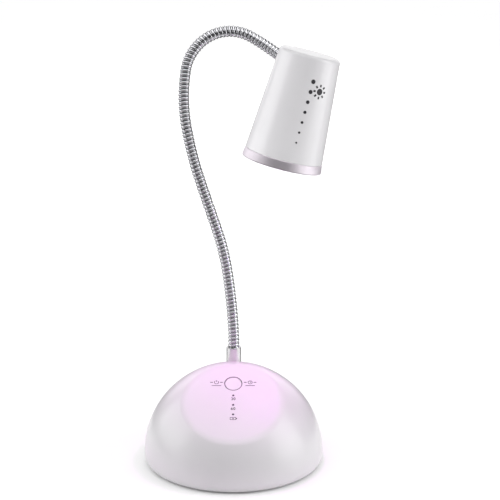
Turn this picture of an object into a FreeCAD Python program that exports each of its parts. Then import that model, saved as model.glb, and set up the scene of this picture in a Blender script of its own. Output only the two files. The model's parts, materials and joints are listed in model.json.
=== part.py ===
"""Gooseneck UV curing lamp: weighted dome base, coil neck and tapered lamp head.

Units are millimetres. The origin is the centre of the underside, on the surface the
lamp stands on. +Z is up, -Y is the front (the side with the controls) and the head
hangs out over the +X side.
"""
import FreeCAD, Part

import math
import os

from FreeCAD import Placement, Rotation, Vector

X_AXIS = Vector(1, 0, 0)
Y_AXIS = Vector(0, 1, 0)
Z_AXIS = Vector(0, 0, 1)
BEYOND = 80.0                # reach of the blocks and bars that cut right through a piece

# --- Screws: shank radius, length, head radius, head height -----------------------
BASE_SCREW = (1.25, 12.0, 2.7, 1.4)
BALLAST_SCREW = (1.5, 9.5, 2.7, 1.4)
BOARD_SCREW = (0.9, 5.5, 1.8, 1.2)
CHARGE_BOARD_SCREW = (0.9, 4.5, 1.8, 1.2)
LED_BOARD_SCREW = (1.0, 5.0, 1.8, 1.2)
HEAT_SINK_SCREW = (1.0, 10.0, 2.1, 1.4)
SCREW_ROOM = 0.2             # how much wider a through hole is than its screw

# --- Base -----------------------------------------------------------------------
DOME_RADIUS = 55.0
DOME_CENTRE_Z = 5.4
DOME_WALL = 2.2
RIM_Z = 1.0                  # the dome's rim stands this far above the table
RIM_RADIUS = 52.3            # the rim is tucked in below the widest circle
SKIRT_INNER_RADIUS = 50.1
FACE_TILT = 29.0             # the control face leans forward from level
FACE_LEVEL = 46.3            # its distance from the dome's centre
FACE_EDGE_ROUND = 8.0

PAD_RADIUS = 49.4
PLATE_RADIUS = 49.9
PLATE_THICKNESS = 2.4
BALLAST_RADIUS = 36.0
BALLAST_THICKNESS = 4.0
PLATE_TOP = RIM_Z + PLATE_THICKNESS
BALLAST_TOP = PLATE_TOP + BALLAST_THICKNESS
BOSS_CIRCLE = 41.0
BOSS_RADIUS = 4.0
COUNTERBORE = 1.5            # depth of the recesses under the plate for screw heads

# --- Controls, in the face's own axes: x across, y up the slope, z outward -------
WALL_INSIDE = FACE_LEVEL - DOME_WALL
BUTTON_UP = 14.8
BUTTON_RADIUS = 5.0
BUTTON_GAP = 0.25
BUTTON_FLANGE_RADIUS = 6.2
BUTTON_FLANGE = 1.0
BUTTON_TRAVEL = 0.5
BUTTON_PLAY = 0.05           # between the flange and the inside of the wall
INDICATOR_UPS = (5.5, -1.8, -9.1)
INDICATOR_RADIUS = 0.7
BOARD_TOP = 37.0
BOARD_THICKNESS = 1.6
BOARD_WIDTH = 44.0
BOARD_HEIGHT = 34.0
BOARD_UP = 3.0
BOARD_POST_X = 18.5
BOARD_POST_UP = 13.5
SWITCH_WIDTH = 6.0
SWITCH_HEIGHT = 3.5
SWITCH_FLOOR = 0.5           # thickness under the plunger's well
PLUNGER_RADIUS = 1.65

# --- Battery and inlet -----------------------------------------------------------
CELL_RADIUS = 9.15
CELL_LENGTH = 65.0
CELL_Y = 2.0
CELL_Z = BALLAST_TOP + 1.2 + CELL_RADIUS
TRAY_LENGTH = 72.0
TRAY_WIDTH = 26.0
TRAY_SCREW_X = 20.0
TRAY_SCREW_OFFSET = 9.5
SOCKET_WIDTH = 8.94
SOCKET_HEIGHT = 3.26
SOCKET_LENGTH = 7.3
SOCKET_WALL = 0.3
SOCKET_MOUTH_Y = 53.8
CHARGE_BOARD_Z = 9.0
CHARGE_BOARD_THICKNESS = 1.6
CHARGE_POST_X = 5.5
CHARGE_POST_Y = 40.0

# --- Neck ------------------------------------------------------------------------
NECK_Y = 25.0                # the collar stands behind the top of the dome
NECK_RADIUS = 3.5
NECK_BORE = 1.7
COLLAR_RADIUS = 4.5
COLLAR_TOP = 64.6
COLLAR_SHOULDER_Z = 49.0
COLLAR_THREAD_RADIUS = 4.0
COLLAR_BOTTOM = 37.5
STUD_BORE = 2.4
NUT_ACROSS_FLATS = 13.0
NUT_HEIGHT = 4.0
WASHER_RADIUS = 7.5
WASHER_THICKNESS = 1.2
NECK_BOSS_RADIUS = 8.0
NECK_BOSS_BOTTOM = 45.0
NECK_TUBE_BOTTOM = 50.5
NECK_START_Z = 59.0          # from here upward the neck is a chain of bent links
# (length, bend to the right in degrees, bend to the back in degrees) of each link
NECK_LINKS = (
    (24.0, -3.0, 0.1),
    (30.0, -6.0, -0.4),
    (30.0, -8.5, 0.8),
    (30.0, -1.2, -0.2),
    (34.1, 9.8, 5.3),
    (34.4, 17.0, 0.7),
    (25.6, 54.4, -2.9),
    (26.3, 55.6, -6.6),
    (24.8, 5.4, -28.4),
)
KNUCKLE_GAP = 1.15           # from a knuckle's centre to each tube's end
BALL_RADIUS = 2.9
CUP_RADIUS = 2.95
BALL_BORE = 1.2
BALL_BORE_DEPTH = 5.0        # how far below a ball's centre the narrow bore begins
LEAD_RADIUS = 0.9
LEAD_CLEAR = 0.4             # gap between a lead's end and the ball before it
NECK_TAIL = 12.0             # length of neck inside the head

# --- Head, in its own axes: z from the mouth to the top, 0 at the ring's seam -----
HEAD_LEAN_SIDE = 14.2
HEAD_LEAN_BACK = 3.9
HEAD_LENGTH = 62.0
HEAD_MOUTH_RADIUS = 23.2
HEAD_TOP_RADIUS = 18.0
HEAD_WALL = 2.0
HEAD_TOP_ROUND = 2.2
ENTRY_HEIGHT = 53.5          # where the neck goes in, at the rear left
ENTRY_AZIMUTH = 135.0
ENTRY_BOSS_RADIUS = 6.5
ENTRY_BOSS = 5.4             # the boss inside reaches this far past the outer surface
CLAMP_RADIUS = 5.6
CLAMP_LENGTH = 5.0
GRUB_RADIUS = 0.98
SEAM_ROUND = 0.3             # soft edges that make the line between shell and ring
RING_DEPTH = 5.4
RING_MOUTH_RADIUS = 24.1     # the ring flares a little more than the shell
RING_EDGE_ROUND = 0.7
RING_LIP = 1.6               # how far the ring's lip reaches under the lens
LENS_RADIUS = 19.8
LENS_THICKNESS = 2.4
LENS_BOTTOM = -3.6
REFLECTOR_TOP = 14.0
LED_BOARD_RADIUS = 15.0
LED_BOARD_THICKNESS = 1.6
SINK_RADIUS = 18.3
SINK_BASE = 4.0
SINK_BASE_Z = REFLECTOR_TOP + LED_BOARD_THICKNESS
SINK_TOP_Z = 34.0
SINK_RECESS = 1.6            # depth of the recesses for the heat sink's screws
SINK_POST_CIRCLE = 14.6
SINK_POST_AZIMUTHS = (75.0, 195.0, 315.0)
LEAD_SLOT = (-4.5, 12.5)     # hole in the heat sink for the lead, x and y


def cylinder(radius, low, high, x=0.0, y=0.0):
    """Upright cylinder from one height to another."""
    return Part.makeCylinder(radius, high - low, Vector(x, y, low), Z_AXIS)


def block(x_size, y_size, low, high, x=0.0, y=0.0):
    """Box centred on x and y, from one height to another."""
    corner = Vector(x - x_size / 2, y - y_size / 2, low)
    return Part.makeBox(x_size, y_size, high - low, corner)


def polar(radius, degrees):
    """Point on a circle, as x and y."""
    angle = math.radians(degrees)
    return radius * math.cos(angle), radius * math.sin(angle)


def revolved(outline):
    """Solid of revolution about Z from a closed list of (radius, height) corners."""
    corners = [Vector(radius, 0, height) for radius, height in outline]
    wire = Part.makePolygon(corners + [corners[0]])
    return Part.Face(wire).revolve(Vector(0, 0, 0), Z_AXIS, 360)


def join(shapes):
    """One shape from many, with leftover seams removed."""
    return shapes[0].multiFuse(shapes[1:]).removeSplitter()


def placed(shape, placement):
    """Copy of a shape moved by a placement."""
    moved = shape.copy()
    moved.Placement = placement.multiply(moved.Placement)
    return moved


def screw(shank_radius, length, head_radius, head_height):
    """Cross-head screw pointing up +Z, its head's underside at height 0."""
    shank = cylinder(shank_radius, -head_height / 2, length)
    head = cylinder(head_radius, -head_height, 0)
    recess_depth = 0.6 * head_height
    recess_length = 1.3 * head_radius
    recess_width = 0.35 * head_radius
    recess = join([
        block(recess_length, recess_width, -head_height, recess_depth - head_height),
        block(recess_width, recess_length, -head_height, recess_depth - head_height),
    ])
    return join([shank, head]).cut(recess)


def rounded_path(points):
    """Wire of straight runs joined by tangent arcs through a list of points."""
    points = [Vector(*point) for point in points]
    edges = []
    run_start = points[0]
    for before, corner, after in zip(points, points[1:], points[2:]):
        into = (corner - before).normalize()
        out = (after - corner).normalize()
        reach = 0.45 * min((corner - before).Length, (after - corner).Length)
        turn = into.getAngle(out)
        radius = reach / math.tan(turn / 2)
        arc_start = corner - into * reach
        arc_end = corner + out * reach
        inward = (out - into).normalize()
        centre = corner + inward * math.hypot(radius, reach)
        middle = centre - inward * radius
        edges.append(Part.LineSegment(run_start, arc_start).toShape())
        edges.append(Part.Arc(arc_start, middle, arc_end).toShape())
        run_start = arc_end
    edges.append(Part.LineSegment(run_start, points[-1]).toShape())
    return Part.Wire(edges)


def lead(points):
    """Round lead that follows a rounded path."""
    path = rounded_path(points)
    direction = Vector(*points[1]) - Vector(*points[0])
    section = Part.Wire(Part.makeCircle(LEAD_RADIUS, Vector(*points[0]), direction))
    return path.makePipeShell([section], True, True)


# --- Base shell, plate, pad and ballast ------------------------------------------

def on_face(shape):
    """Move a shape from the control face's axes to the lamp's."""
    return placed(shape, Placement(Vector(0, 0, DOME_CENTRE_Z), Rotation(X_AXIS, FACE_TILT)))


def dome_body():
    """Solid outer form of the base: a dome with a flat face above, tucked in below."""
    ball = face_turned_ball()
    upper = ball.cut(block(2 * BEYOND, 2 * BEYOND, -BEYOND, DOME_CENTRE_Z))
    return join([upper, tucked_skirt()])


def face_turned_ball():
    """Ball turned about the face's axis, with its flat face and soft round edge."""
    reach = DOME_RADIUS - FACE_EDGE_ROUND
    rise = FACE_LEVEL - FACE_EDGE_ROUND
    out = math.sqrt(reach ** 2 - rise ** 2)
    slope = math.atan2(rise, out)
    middle_angle = (slope + math.pi / 2) / 2
    centre = Vector(out, 0, rise)
    face_edge = Vector(out, 0, FACE_LEVEL)
    round_middle = centre + Vector(math.cos(middle_angle), 0, math.sin(middle_angle)) \
        * FACE_EDGE_ROUND
    ball_edge = Vector(math.cos(slope), 0, math.sin(slope)) * DOME_RADIUS
    face_centre = Vector(0, 0, FACE_LEVEL)
    bottom = Vector(0, 0, -DOME_RADIUS)
    wire = Part.Wire([
        Part.LineSegment(bottom, face_centre).toShape(),
        Part.LineSegment(face_centre, face_edge).toShape(),
        Part.Arc(face_edge, round_middle, ball_edge).toShape(),
        Part.Arc(ball_edge, Vector(DOME_RADIUS, 0, 0), bottom).toShape(),
    ])
    return on_face(Part.Face(wire).revolve(Vector(0, 0, 0), Z_AXIS, 360))


def tucked_skirt():
    """Lowest slice of the dome, whose side curves in to the rim."""
    drop = DOME_CENTRE_Z - RIM_Z
    tuck = DOME_RADIUS - RIM_RADIUS
    tuck_round = (drop ** 2 + tuck ** 2) / (2 * tuck)
    middle_angle = math.asin(drop / tuck_round) / 2
    tuck_centre = DOME_RADIUS - tuck_round
    top = Vector(0, 0, DOME_CENTRE_Z)
    foot = Vector(0, 0, RIM_Z)
    rim = Vector(RIM_RADIUS, 0, RIM_Z)
    widest = Vector(DOME_RADIUS, 0, DOME_CENTRE_Z)
    tuck_middle = Vector(tuck_centre + tuck_round * math.cos(middle_angle), 0,
                         DOME_CENTRE_Z - tuck_round * math.sin(middle_angle))
    wire = Part.Wire([
        Part.LineSegment(foot, rim).toShape(),
        Part.Arc(rim, tuck_middle, widest).toShape(),
        Part.LineSegment(widest, top).toShape(),
        Part.LineSegment(top, foot).toShape(),
    ])
    return Part.Face(wire).revolve(Vector(0, 0, 0), Z_AXIS, 360)


def dome_cavity():
    """Hollow inside the base, down to the rim."""
    ball = Part.makeSphere(DOME_RADIUS - DOME_WALL, Vector(0, 0, DOME_CENTRE_Z))
    ball = ball.common(cylinder(SKIRT_INNER_RADIUS, 0, BEYOND))
    ball = ball.cut(on_face(block(2 * BEYOND, 2 * BEYOND, WALL_INSIDE, BEYOND)))
    return ball.cut(block(2 * BEYOND, 2 * BEYOND, -BEYOND, RIM_Z))


def base_shell():
    """White moulded dome with its bosses, button hole, light holes and inlet hole."""
    body = dome_body()
    cavity = dome_cavity()
    inner = []
    for quarter in range(4):
        x, y = polar(BOSS_CIRCLE, 45 + 90 * quarter)
        boss = cylinder(BOSS_RADIUS, PLATE_TOP, 60, x, y)
        inner.append(boss.cut(cylinder(BASE_SCREW[0], PLATE_TOP, PLATE_TOP + BASE_SCREW[1], x, y)))
    inner.append(cylinder(NECK_BOSS_RADIUS, NECK_BOSS_BOTTOM, 60, 0, NECK_Y))
    for side_x in (-BOARD_POST_X, BOARD_POST_X):
        for side_up in (-BOARD_POST_UP, BOARD_POST_UP):
            post = cylinder(2.2, BOARD_TOP, WALL_INSIDE + 1, side_x, BOARD_UP + side_up)
            pilot = cylinder(BOARD_SCREW[0], BOARD_TOP, BOARD_TOP + 5, side_x, BOARD_UP + side_up)
            inner.append(on_face(post.cut(pilot)))
    shell = body.cut(cavity)
    shell = join([shell] + [piece.common(body) for piece in inner])
    openings = [on_face(cylinder(BUTTON_RADIUS + BUTTON_GAP, 40, 60, 0, BUTTON_UP))]
    for up in INDICATOR_UPS:
        openings.append(on_face(cylinder(INDICATOR_RADIUS + 0.02, 40, 60, 0, up)))
    openings.append(cylinder(COLLAR_RADIUS + 0.1, COLLAR_SHOULDER_Z, BEYOND, 0, NECK_Y))
    openings.append(cylinder(COLLAR_THREAD_RADIUS + 0.1, 40, BEYOND, 0, NECK_Y))
    openings.append(socket_form(0.35, 45, 60))
    return shell.cut(openings[0].multiFuse(openings[1:]))


def base_plate():
    """Plastic plate that closes the dome, with two posts for the charge board."""
    plate = cylinder(PLATE_RADIUS, RIM_Z, PLATE_TOP)
    posts = []
    for side_x in (-CHARGE_POST_X, CHARGE_POST_X):
        post = cylinder(2.5, PLATE_TOP - 0.5, CHARGE_BOARD_Z, side_x, CHARGE_POST_Y)
        posts.append(post)
    plate = join([plate] + posts)
    holes = []
    hole_radius = BALLAST_SCREW[0] + SCREW_ROOM / 2
    recess_radius = BALLAST_SCREW[2] + SCREW_ROOM
    for x, y in base_screw_points() + tray_screw_points():
        holes.append(cylinder(hole_radius, 0, PLATE_TOP + 1, x, y))
        holes.append(cylinder(recess_radius, 0, RIM_Z + COUNTERBORE, x, y))
    for side_x in (-CHARGE_POST_X, CHARGE_POST_X):
        holes.append(cylinder(CHARGE_BOARD_SCREW[0], PLATE_TOP, CHARGE_BOARD_Z + 1,
                              side_x, CHARGE_POST_Y))
    return plate.cut(holes[0].multiFuse(holes[1:]))


def anti_slip_pad():
    """Rubber disc stuck under the plate, with a shallow rounded edge."""
    pad = cylinder(PAD_RADIUS, 0, RIM_Z)
    return pad.makeFillet(0.3, [edge for edge in pad.Edges if edge.CenterOfMass.z < 0.1
                                and edge.Length > PAD_RADIUS])


def ballast_plate():
    """Steel disc that keeps the lamp standing when the neck leans out."""
    disc = cylinder(BALLAST_RADIUS, PLATE_TOP, BALLAST_TOP)
    hole_radius = BALLAST_SCREW[0] + SCREW_ROOM / 2
    for x, y in tray_screw_points():
        disc = disc.cut(cylinder(hole_radius, PLATE_TOP - 1, BALLAST_TOP + 1, x, y))
    return disc


def base_screw_points():
    """Centres of the four screws that hold the plate to the dome."""
    return [polar(BOSS_CIRCLE, 45 + 90 * quarter) for quarter in range(4)]


def tray_screw_points():
    """Centres of the four screws through plate and ballast into the battery tray."""
    return [(side_x, CELL_Y + side_y)
            for side_x in (-TRAY_SCREW_X, TRAY_SCREW_X)
            for side_y in (-TRAY_SCREW_OFFSET, TRAY_SCREW_OFFSET)]


def screws_at(points, height, size):
    """Group of upright screws, heads down."""
    one = screw(*size)
    return Part.makeCompound([
        placed(one, Placement(Vector(x, y, height), Rotation())) for x, y in points])


def base_screws():
    """Screws up into the dome's bosses."""
    return screws_at(base_screw_points(), RIM_Z + COUNTERBORE, BASE_SCREW)


def ballast_screws():
    """Screws up through plate and ballast into the tray."""
    return screws_at(tray_screw_points(), RIM_Z + COUNTERBORE, BALLAST_SCREW)


# --- Controls --------------------------------------------------------------------

def control_board():
    """Circuit board held parallel to the control face."""
    board = block(BOARD_WIDTH, BOARD_HEIGHT, BOARD_TOP - BOARD_THICKNESS, BOARD_TOP,
                  0, BOARD_UP)
    corners = [edge for edge in board.Edges if abs(edge.Vertexes[0].Z - edge.Vertexes[1].Z) > 1]
    board = board.makeFillet(2.0, corners)
    for x, up in board_screw_points():
        board = board.cut(cylinder(BOARD_SCREW[0] + SCREW_ROOM, BOARD_TOP - 5, BOARD_TOP + 1, x, up))
    return on_face(board)


def board_screw_points():
    """Centres of the four control board screws, in the face's axes."""
    return [(side_x, BOARD_UP + side_up)
            for side_x in (-BOARD_POST_X, BOARD_POST_X)
            for side_up in (-BOARD_POST_UP, BOARD_POST_UP)]


def board_screws():
    """Small screws through the board into the dome's posts."""
    under_board = BOARD_TOP - BOARD_THICKNESS
    return on_face(screws_at(board_screw_points(), under_board, BOARD_SCREW))


def control_chips():
    """Controller, driver and passive parts on the underside of the board."""
    low = BOARD_TOP - BOARD_THICKNESS
    places = (
        (9.0, 6.0, 1.4, -8.0, 2.0),
        (5.0, 4.0, 1.2, 6.0, 6.0),
        (4.0, 4.0, 2.6, 12.0, -3.0),
        (2.0, 1.3, 0.8, 2.0, -4.0),
        (2.0, 1.3, 0.8, 2.0, -7.0),
    )
    return on_face(Part.makeCompound([
        block(width, height, low - depth, low, x, up) for width, height, depth, x, up in places]))


def switch_housing():
    """Square body of the push switch."""
    top = BOARD_TOP + SWITCH_HEIGHT
    body = block(SWITCH_WIDTH, SWITCH_WIDTH, BOARD_TOP, top, 0, BUTTON_UP)
    well = cylinder(PLUNGER_RADIUS + 0.1, BOARD_TOP + SWITCH_FLOOR, top + 1, 0, BUTTON_UP)
    return on_face(body.cut(well))


def switch_plunger():
    """Round plunger of the push switch, which travels with the button."""
    foot = BOARD_TOP + SWITCH_FLOOR + BUTTON_TRAVEL + 0.3
    underside = WALL_INSIDE - BUTTON_PLAY - BUTTON_FLANGE
    return on_face(cylinder(PLUNGER_RADIUS, foot, underside, 0, BUTTON_UP))


def button_cap():
    """Button flush with the face, with a flange that keeps it in."""
    flange_top = WALL_INSIDE - BUTTON_PLAY
    cap = cylinder(BUTTON_RADIUS, flange_top - BUTTON_FLANGE, FACE_LEVEL, 0, BUTTON_UP)
    cap = cap.makeFillet(0.35, [edge for edge in cap.Edges
                                if edge.CenterOfMass.z > FACE_LEVEL - 0.1 and edge.Length > 20])
    flange = cylinder(BUTTON_FLANGE_RADIUS, flange_top - BUTTON_FLANGE, flange_top, 0, BUTTON_UP)
    return on_face(join([cap, flange]))


def indicator_lens(up):
    """Light pipe from an indicator LED to the face."""
    led_clear = BOARD_TOP + 1.1
    pipe = cylinder(INDICATOR_RADIUS, led_clear, FACE_LEVEL, 0, up)
    stop = cylinder(1.3, led_clear, WALL_INSIDE, 0, up)
    return on_face(join([pipe, stop]))


def indicator_led(up):
    """Surface-mounted indicator LED."""
    base = block(1.6, 0.8, BOARD_TOP, BOARD_TOP + 0.4, 0, up)
    dome = block(1.0, 0.7, BOARD_TOP + 0.4, BOARD_TOP + 0.9, 0, up)
    return on_face(join([base, dome]))


# --- Battery and inlet -----------------------------------------------------------

def battery_tray():
    """Cradle screwed on the ballast, with an end wall at each end of the cell."""
    low = BALLAST_TOP
    cradle = block(TRAY_LENGTH, TRAY_WIDTH, low, CELL_Z - 1.0, 0, CELL_Y)
    room = CELL_LENGTH + 0.6
    trough = Part.makeCylinder(CELL_RADIUS + 0.1, room, Vector(-room / 2, CELL_Y, CELL_Z), X_AXIS)
    cradle = cradle.cut(trough)
    for x, y in tray_screw_points():
        cradle = cradle.cut(cylinder(1.5, low - 1, low + 5.2, x, y))
    return cradle


def battery_cell():
    """Round rechargeable cell with a raised contact at one end."""
    start = Vector(-CELL_LENGTH / 2, CELL_Y, CELL_Z)
    can = Part.makeCylinder(CELL_RADIUS, CELL_LENGTH - 1, start, X_AXIS)
    can = can.makeFillet(0.8, [edge for edge in can.Edges if edge.Length > 50
                               and len(edge.Vertexes) == 1])
    contact = Part.makeCylinder(3.0, 1.2, start + Vector(CELL_LENGTH - 1.2, 0, 0), X_AXIS)
    return join([can, contact])


def socket_form(margin, low_y, high_y):
    """Flat oval bar along Y with the inlet's outer outline plus a margin."""
    radius = SOCKET_HEIGHT / 2 + margin
    centre_z = CHARGE_BOARD_Z + CHARGE_BOARD_THICKNESS + SOCKET_HEIGHT / 2
    offset = (SOCKET_WIDTH - SOCKET_HEIGHT) / 2
    length = high_y - low_y
    ends = [Part.makeCylinder(radius, length, Vector(side * offset, low_y, centre_z), Y_AXIS)
            for side in (-1, 1)]
    middle = Part.makeBox(2 * offset, length, 2 * radius,
                          Vector(-offset, low_y, centre_z - radius))
    return join(ends + [middle])


def socket_shell():
    """Metal shell of the inlet, closed at the back."""
    back = SOCKET_MOUTH_Y - SOCKET_LENGTH
    outer = socket_form(0, back, SOCKET_MOUTH_Y)
    return outer.cut(socket_form(-SOCKET_WALL, back + 1.0, SOCKET_MOUTH_Y + 1))


def socket_tongue():
    """Contact tongue inside the inlet."""
    back = SOCKET_MOUTH_Y - SOCKET_LENGTH + 1.0
    centre_z = CHARGE_BOARD_Z + CHARGE_BOARD_THICKNESS + SOCKET_HEIGHT / 2
    return block(6.6, 4.7, centre_z - 0.35, centre_z + 0.35, 0, back + 2.35)


def charge_board():
    """Small board that carries the inlet."""
    low = CHARGE_BOARD_Z
    high = low + CHARGE_BOARD_THICKNESS
    board = block(16, 12.5, low, high, 0, 42.6)
    for side_x in (-CHARGE_POST_X, CHARGE_POST_X):
        board = board.cut(cylinder(CHARGE_BOARD_SCREW[0] + SCREW_ROOM, low - 1, high + 1,
                                   side_x, CHARGE_POST_Y))
    chip = block(4, 3, high, high + 1.0, 0, 41.0)
    return join([board, chip])


def charge_board_screws():
    """Two small screws down into the plate's posts."""
    one = placed(screw(*CHARGE_BOARD_SCREW), Placement(Vector(0, 0, 0), Rotation(X_AXIS, 180)))
    height = CHARGE_BOARD_Z + CHARGE_BOARD_THICKNESS
    return Part.makeCompound([
        placed(one, Placement(Vector(side_x, CHARGE_POST_Y, height), Rotation()))
        for side_x in (-CHARGE_POST_X, CHARGE_POST_X)])


def battery_lead():
    """Lead from the cell's contact end to the control board."""
    return lead([(CELL_LENGTH / 2 + 1.2, CELL_Y, 22.0), (36.0, CELL_Y, 28.5), (30.0, -6.0, 34.0),
                 (19.0, -12.0, 35.5), (13.0, -13.5, 36.4)])


def charge_lead():
    """Lead from the charge board to the control board."""
    return lead([(0.0, 38.0, 11.6), (-9.0, 29.0, 18.0), (-14.0, 18.0, 30.0),
                 (-14.0, 4.0, 35.0), (-13.0, -7.0, 37.5)])


def base_lead():
    """Lead from the control board into the foot of the neck, up to the first knuckle."""
    return lead([(0.0, -6.5, 40.9), (0.0, 3.0, 33.0), (0.0, 15.0, 26.0),
                 (0.0, NECK_Y, 31.0), (0.0, NECK_Y, NECK_START_Z)])


# --- Neck ------------------------------------------------------------------------

def neck_collar():
    """Turned metal collar: plain sleeve above the dome, threaded stud below."""
    sleeve = cylinder(COLLAR_RADIUS, COLLAR_SHOULDER_Z, COLLAR_TOP, 0, NECK_Y)
    sleeve = sleeve.makeFillet(0.4, [edge for edge in sleeve.Edges
                                     if edge.CenterOfMass.z > COLLAR_TOP - 0.1
                                     and edge.Length > 20])
    stud = cylinder(COLLAR_THREAD_RADIUS, COLLAR_BOTTOM, COLLAR_SHOULDER_Z + 1, 0, NECK_Y)
    collar = join([sleeve, stud])
    collar = collar.cut(cylinder(NECK_RADIUS + 0.05, NECK_TUBE_BOTTOM, BEYOND, 0, NECK_Y))
    return collar.cut(cylinder(STUD_BORE, COLLAR_BOTTOM - 1, BEYOND, 0, NECK_Y))


def neck_washer():
    """Steel washer between the dome's boss and the nut."""
    low = NECK_BOSS_BOTTOM - WASHER_THICKNESS
    washer = cylinder(WASHER_RADIUS, low, NECK_BOSS_BOTTOM, 0, NECK_Y)
    return washer.cut(cylinder(COLLAR_THREAD_RADIUS + 0.1, 0, BEYOND, 0, NECK_Y))


def neck_nut():
    """Hexagon nut on the collar's stud."""
    low = NECK_BOSS_BOTTOM - WASHER_THICKNESS - NUT_HEIGHT
    corner_radius = NUT_ACROSS_FLATS / 2 / math.cos(math.pi / 6)
    corners = [polar(corner_radius, 60 * corner) for corner in range(7)]
    outline = Part.makePolygon([Vector(x, NECK_Y + y, low) for x, y in corners])
    hexagon = Part.Face(outline).extrude(Vector(0, 0, NUT_HEIGHT))
    return hexagon.cut(cylinder(COLLAR_THREAD_RADIUS + 0.01, 0, BEYOND, 0, NECK_Y))


class NeckLink:
    """One link of the neck: an arc that starts at a placement, with z along the neck."""

    def __init__(self, start, length, right, back):
        self.start = start
        self.length = length
        self.bend = math.radians(math.hypot(right, back))
        self.radius = length / self.bend
        self.toward = Vector(right, back, 0).normalize()
        self.hinge = Vector(-self.toward.y, self.toward.x, 0)

    def at(self, distance):
        """Placement at a distance along the arc."""
        angle = distance / self.radius
        across = self.toward * (self.radius * (1 - math.cos(angle)))
        along = Vector(0, 0, self.radius * math.sin(angle))
        turn = Rotation(self.hinge, math.degrees(angle))
        return self.start.multiply(Placement(across + along, turn))

    def rod(self, begin, finish, radius):
        """Round bar along the arc."""
        disc = Part.Face(Part.Wire(Part.makeCircle(radius)))
        disc = placed(disc, self.at(begin))
        centre = self.start.multVec(self.toward * self.radius)
        axis = self.start.Rotation.multVec(self.hinge)
        return disc.revolve(centre, axis, math.degrees((finish - begin) / self.radius))


def neck_chain():
    """All the links of the neck, from the collar to the head."""
    start = Placement(Vector(0, NECK_Y, NECK_START_Z), Rotation())
    links = []
    for length, right, back in NECK_LINKS:
        link = NeckLink(start, length, right, back)
        links.append(link)
        start = link.at(length)
    return links


def knuckle_ball(link):
    """Ball that ends a link, centred on the next knuckle."""
    return Part.makeSphere(BALL_RADIUS, link.at(link.length).Base)


def knuckle_cup(link):
    """Space that a link leaves for the ball of the link below it."""
    return Part.makeSphere(CUP_RADIUS, link.start.Base)


def bored(tube, link):
    """Tube with its bore, which narrows where it passes through the ball."""
    narrow_start = link.length - BALL_BORE_DEPTH
    tube = tube.cut(link.rod(0, narrow_start + 1, NECK_BORE))
    return tube.cut(link.rod(narrow_start, link.length + BALL_BORE_DEPTH, BALL_BORE))


def neck_root(link):
    """Lowest length of the neck, held in the collar."""
    straight = cylinder(NECK_RADIUS, NECK_TUBE_BOTTOM, NECK_START_Z, 0, NECK_Y)
    tube = link.rod(0, link.length - KNUCKLE_GAP, NECK_RADIUS)
    root = join([straight, tube, knuckle_ball(link)])
    root = root.cut(cylinder(NECK_BORE, NECK_TUBE_BOTTOM - 1, NECK_START_Z, 0, NECK_Y))
    return bored(root, link)


def neck_segment(link):
    """Length of the neck between two knuckles."""
    tube = link.rod(KNUCKLE_GAP, link.length - KNUCKLE_GAP, NECK_RADIUS)
    segment = join([tube, knuckle_ball(link)])
    return bored(segment, link).cut(knuckle_cup(link))


def neck_tip(link):
    """Last length of the neck, which goes into the head."""
    finish = link.at(link.length)
    tail = placed(cylinder(NECK_RADIUS, 0, NECK_TAIL), finish)
    tail_bore = placed(cylinder(NECK_BORE, 0, NECK_TAIL + 1), finish)
    tip = join([link.rod(KNUCKLE_GAP, link.length, NECK_RADIUS), tail])
    tip = tip.cut(link.rod(0, link.length, NECK_BORE)).cut(tail_bore)
    return tip.cut(knuckle_cup(link))


def neck_lead(link):
    """Lead inside a link, clear of the ball below it."""
    return link.rod(BALL_RADIUS + LEAD_CLEAR, link.length - LEAD_CLEAR, LEAD_RADIUS)


def root_lead(link):
    """Lead inside the root link."""
    return link.rod(0, link.length - LEAD_CLEAR, LEAD_RADIUS)


# --- Head ------------------------------------------------------------------------

def head_radius(height):
    """Outer radius of the head at a height above the seam."""
    return HEAD_MOUTH_RADIUS - (HEAD_MOUTH_RADIUS - HEAD_TOP_RADIUS) * height / HEAD_LENGTH


def head_placement(last_link):
    """Where the head sits, so that its entry hole meets the end of the neck."""
    turn = Rotation(X_AXIS, -HEAD_LEAN_BACK).multiply(Rotation(Y_AXIS, HEAD_LEAN_SIDE))
    entry_x, entry_y = polar(head_radius(ENTRY_HEIGHT), ENTRY_AZIMUTH)
    entry = turn.multVec(Vector(entry_x, entry_y, ENTRY_HEIGHT))
    return Placement(last_link.at(last_link.length).Base - entry, turn)


def neck_in_head(shape, head, last_link):
    """Move a shape from the end of the neck (z into the head) to the head's axes."""
    return placed(shape, head.inverse().multiply(last_link.at(last_link.length)))


def rims_at(shape, height):
    """Large round edges at a height."""
    return [edge for edge in shape.Edges
            if abs(edge.CenterOfMass.z - height) < 0.1 and edge.Length > 50]


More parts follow.
